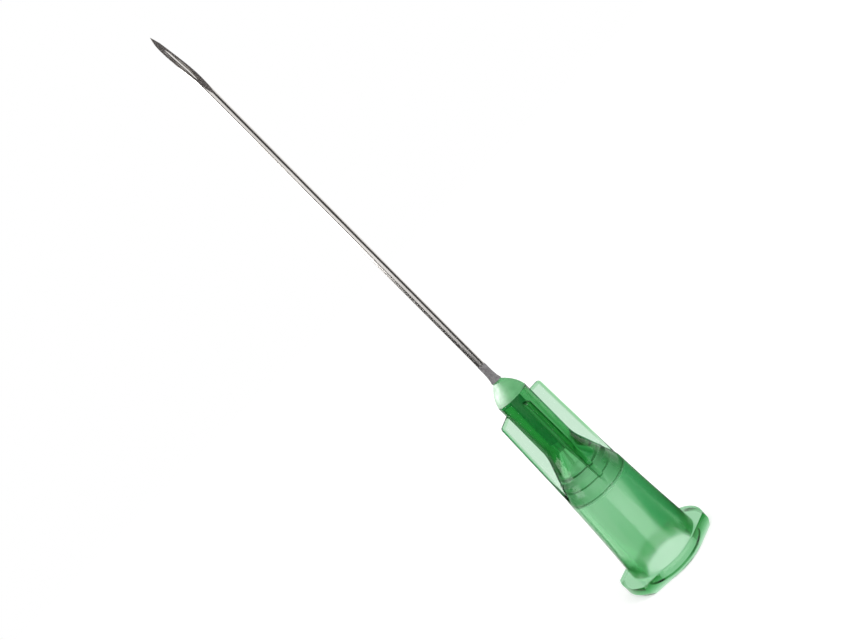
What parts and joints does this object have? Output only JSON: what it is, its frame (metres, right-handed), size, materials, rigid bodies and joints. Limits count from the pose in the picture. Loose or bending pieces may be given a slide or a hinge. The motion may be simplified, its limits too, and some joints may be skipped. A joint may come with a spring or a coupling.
{
  "type": "hypodermic needle",
  "caption": "Hypodermic needle: sharp lancet-pointed steel cannula glued into a finned green plastic hub with a tapered Luer socket and locking lugs.",
  "frame": {"origin": "centre of the hub's open end face, on the needle's axis", "axes": "+Z along the needle from the open end to the point; one fin faces -Y; the locking lugs lie towards +X and -X"},
  "size_m": [0.0078, 0.0062, 0.0509],
  "materials": {
    "hub_plastic": "smooth moulded translucent green polypropylene",
    "cannula_steel": "drawn and electropolished stainless steel, ground at the point",
    "adhesive": "cured grey adhesive, matt"
  },
  "bodies": {
    "root": {"hub": "hub_plastic", "cannula": "cannula_steel", "adhesive_collar": "adhesive"}
  },
  "joints": []
}
